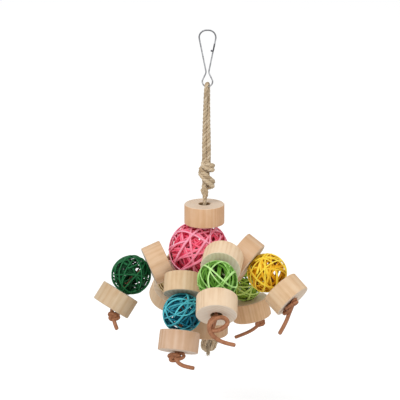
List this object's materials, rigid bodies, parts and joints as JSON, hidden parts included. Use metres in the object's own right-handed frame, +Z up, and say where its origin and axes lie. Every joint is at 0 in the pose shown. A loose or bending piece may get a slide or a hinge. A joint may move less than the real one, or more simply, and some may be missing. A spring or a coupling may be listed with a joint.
{
  "type": "hanging bird chew toy",
  "caption": "Bird chew toy that hangs from a wire hook: a jute rope with wooden rings and vine balls on leather laces.",
  "frame": {"origin": "inside crown of the wire hook's upper loop, where it hangs on a cage bar", "axes": "+Z up, the hook's wire lies in the XZ plane, -Y towards the viewer of the picture"},
  "size_m": [0.1601, 0.1554, 0.2508],
  "materials": {
    "steel_wire": "zinc plated, dull",
    "jute": "twisted jute fibre",
    "wood": "turned, sanded, unfinished",
    "leather": "soft lace, matt",
    "vine_pink": "dyed vine",
    "vine_dark_green": "dyed vine",
    "vine_blue": "dyed vine",
    "vine_light_green": "dyed vine",
    "vine_yellow": "dyed vine",
    "vine_green": "dyed vine",
    "vine_natural": "undyed vine"
  },
  "bodies": {
    "hook": {"wire_hook": "steel_wire"},
    "toy": {"jute_rope": "jute", "lace_across": "leather", "lace_fore_and_aft": "leather", "lace_slanting": "leather", "pink_ball": "vine_pink"},
    "top_ring_spinner": {"top_ring": "wood"},
    "bottom_ring_spinner": {"bottom_ring": "wood"},
    "left_inner_ring_spinner": {"left_inner_ring": "wood"},
    "left_ball_spinner": {"left_ball": "vine_dark_green"},
    "left_outer_ring_spinner": {"left_outer_ring": "wood"},
    "front_left_inner_ring_spinner": {"front_left_inner_ring": "wood"},
    "front_left_ball_spinner": {"front_left_ball": "vine_blue"},
    "front_left_outer_ring_spinner": {"front_left_outer_ring": "wood"},
    "front_inner_ring_spinner": {"front_inner_ring": "wood"},
    "front_ball_spinner": {"front_ball": "vine_light_green"},
    "front_outer_ring_spinner": {"front_outer_ring": "wood"},
    "right_inner_ring_spinner": {"right_inner_ring": "wood"},
    "right_ball_spinner": {"right_ball": "vine_yellow"},
    "right_outer_ring_spinner": {"right_outer_ring": "wood"},
    "back_right_inner_ring_spinner": {"back_right_inner_ring": "wood"},
    "back_right_ball_spinner": {"back_right_ball": "vine_green"},
    "back_right_outer_ring_spinner": {"back_right_outer_ring": "wood"},
    "back_inner_ring_spinner": {"back_inner_ring": "wood"},
    "back_ball_spinner": {"back_ball": "vine_natural"},
    "back_outer_ring_spinner": {"back_outer_ring": "wood"}
  },
  "joints": [
    {"name": "toy_swing", "type": "hinge", "parent": "hook", "child": "toy", "pos_m": [0, 0, -0.04155], "axis": [1, 0, 0], "range_deg": [-90, 90]},
    {"name": "top_ring_spin", "type": "hinge", "parent": "toy", "child": "top_ring_spinner", "pos_m": [-0.0022, 0, -0.1387], "axis": [0, 0, 1], "continuous": true},
    {"name": "bottom_ring_spin", "type": "hinge", "parent": "toy", "child": "bottom_ring_spinner", "pos_m": [0.0008, 0, -0.2265], "axis": [0, 0, 1], "continuous": true},
    {"name": "left_inner_ring_spin", "type": "hinge", "parent": "toy", "child": "left_inner_ring_spinner", "pos_m": [-0.03716, 0.00107, -0.17788], "axis": [-0.9101, -0.1769, -0.3746], "continuous": true},
    {"name": "left_ball_spin", "type": "hinge", "parent": "toy", "child": "left_ball_spinner", "pos_m": [-0.05725, -0.00283, -0.18615], "axis": [-0.7515, -0.236, -0.616], "continuous": true},
    {"name": "left_outer_ring_spin", "type": "hinge", "parent": "toy", "child": "left_outer_ring_spinner", "pos_m": [-0.0689, -0.0089, -0.20389], "axis": [-0.5276, -0.2747, -0.8039], "continuous": true},
    {"name": "front_left_inner_ring_spin", "type": "hinge", "parent": "toy", "child": "front_left_inner_ring_spinner", "pos_m": [-0.01741, -0.02087, -0.18846], "axis": [-0.0592, -0.5633, -0.8241], "continuous": true},
    {"name": "front_left_ball_spin", "type": "hinge", "parent": "toy", "child": "front_left_ball_spinner", "pos_m": [-0.01868, -0.03297, -0.20616], "axis": [-0.0857, -0.4992, -0.8622], "continuous": true},
    {"name": "front_left_outer_ring_spin", "type": "hinge", "parent": "toy", "child": "front_left_outer_ring_spinner", "pos_m": [-0.02108, -0.04225, -0.22538], "axis": [-0.1117, -0.432, -0.8949], "continuous": true},
    {"name": "front_inner_ring_spin", "type": "hinge", "parent": "toy", "child": "front_inner_ring_spinner", "pos_m": [0.01081, -0.03008, -0.16768], "axis": [-0.1637, -0.9283, -0.3338], "continuous": true},
    {"name": "front_ball_spin", "type": "hinge", "parent": "toy", "child": "front_ball_spinner", "pos_m": [0.00723, -0.05039, -0.17499], "axis": [-0.0969, -0.8579, -0.5047], "continuous": true},
    {"name": "front_outer_ring_spin", "type": "hinge", "parent": "toy", "child": "front_outer_ring_spinner", "pos_m": [0.00665, -0.06689, -0.18934], "axis": [-0.0263, -0.7542, -0.6561], "continuous": true},
    {"name": "right_inner_ring_spin", "type": "hinge", "parent": "toy", "child": "right_inner_ring_spinner", "pos_m": [0.02802, -0.00634, -0.16962], "axis": [0.7785, -0.2988, -0.5519], "continuous": true},
    {"name": "right_ball_spin", "type": "hinge", "parent": "toy", "child": "right_ball_spinner", "pos_m": [0.04481, -0.01279, -0.18153], "axis": [0.7169, -0.3657, -0.5936], "continuous": true},
    {"name": "right_outer_ring_spin", "type": "hinge", "parent": "toy", "child": "right_outer_ring_spinner", "pos_m": [0.0588, -0.02204, -0.19511], "axis": [0.6481, -0.4289, -0.6293], "continuous": true},
    {"name": "back_right_inner_ring_spin", "type": "hinge", "parent": "toy", "child": "back_right_inner_ring_spinner", "pos_m": [0.01546, 0.01902, -0.18603], "axis": [0.5862, 0.3954, -0.7071], "continuous": true},
    {"name": "back_right_ball_spin", "type": "hinge", "parent": "toy", "child": "back_right_ball_spinner", "pos_m": [0.02841, 0.02775, -0.20164], "axis": [0.4256, 0.1935, -0.884], "continuous": true},
    {"name": "back_right_outer_ring_spin", "type": "hinge", "parent": "toy", "child": "back_right_outer_ring_spinner", "pos_m": [0.03334, 0.02715, -0.22315], "axis": [0.2233, -0.0274, -0.9744], "continuous": true},
    {"name": "back_inner_ring_spin", "type": "hinge", "parent": "toy", "child": "back_inner_ring_spinner", "pos_m": [-0.01749, 0.02594, -0.18789], "axis": [-0.3232, 0.6627, -0.6756], "continuous": true},
    {"name": "back_ball_spin", "type": "hinge", "parent": "toy", "child": "back_ball_spinner", "pos_m": [-0.02436, 0.04004, -0.20227], "axis": [-0.2741, 0.6578, -0.7016], "continuous": true},
    {"name": "back_outer_ring_spin", "type": "hinge", "parent": "toy", "child": "back_outer_ring_spinner", "pos_m": [-0.02913, 0.05389, -0.2177], "axis": [-0.2241, 0.6509, -0.7254], "continuous": true}
  ]
}
